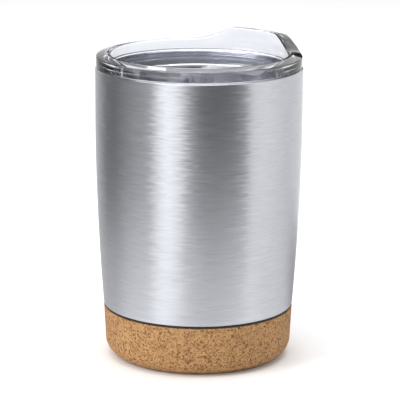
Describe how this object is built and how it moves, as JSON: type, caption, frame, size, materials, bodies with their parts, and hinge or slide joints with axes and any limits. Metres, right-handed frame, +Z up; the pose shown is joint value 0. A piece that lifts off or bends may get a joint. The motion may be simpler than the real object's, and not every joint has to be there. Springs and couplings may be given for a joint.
{
  "type": "double-walled travel cup with slide lid",
  "caption": "Rigid double-walled brushed steel travel cup with a cork base and a clear press-in lid that has a raised drinking lip and a sliding closure.",
  "frame": {"origin": "centre of the cork base's flat bottom, on the surface that the cup stands on", "axes": "+Z up along the cup's axis, +X towards the lid's raised drinking lip, +Y completes a right-handed frame"},
  "size_m": [0.085, 0.085, 0.132],
  "materials": {
    "brushed_steel": "brushed round the cup, uncoated",
    "satin_steel": "satin, as drawn and polished",
    "cork": "bonded granulated cork, matt",
    "dark_rubber": "matt",
    "adhesive_pad": "soft foam adhesive",
    "clear_plastic": "clear, polished moulding",
    "clear_silicone": "milky clear, satin",
    "solder_glass": "dark, glossy",
    "getter_powder": "pressed powder, matt"
  },
  "bodies": {
    "cup": {"outer_shell": "brushed_steel", "inner_liner": "satin_steel", "base_pan": "satin_steel", "vacuum_seal_bead": "solder_glass", "getter_pill": "getter_powder", "getter_strap": "satin_steel", "base_gasket": "dark_rubber", "cork_base": "cork", "cork_adhesive_pad": "adhesive_pad"},
    "lid_ring": {"lid_seal": "clear_silicone"},
    "lid": {"lid_body": "clear_plastic"},
    "closure": {"slider": "clear_plastic", "slider_clip": "clear_plastic"}
  },
  "joints": [
    {"name": "lid_lift", "type": "slide", "parent": "cup", "child": "lid_ring", "axis": [0, 0, 1], "range_m": [0, 0.05]},
    {"name": "lid_turn", "type": "hinge", "parent": "lid_ring", "child": "lid", "pos_m": [0, 0, 0.118], "axis": [0, 0, 1], "continuous": true},
    {"name": "slider_open", "type": "slide", "parent": "lid", "child": "closure", "axis": [-1, 0, 0], "range_m": [0, 0.01]}
  ]
}
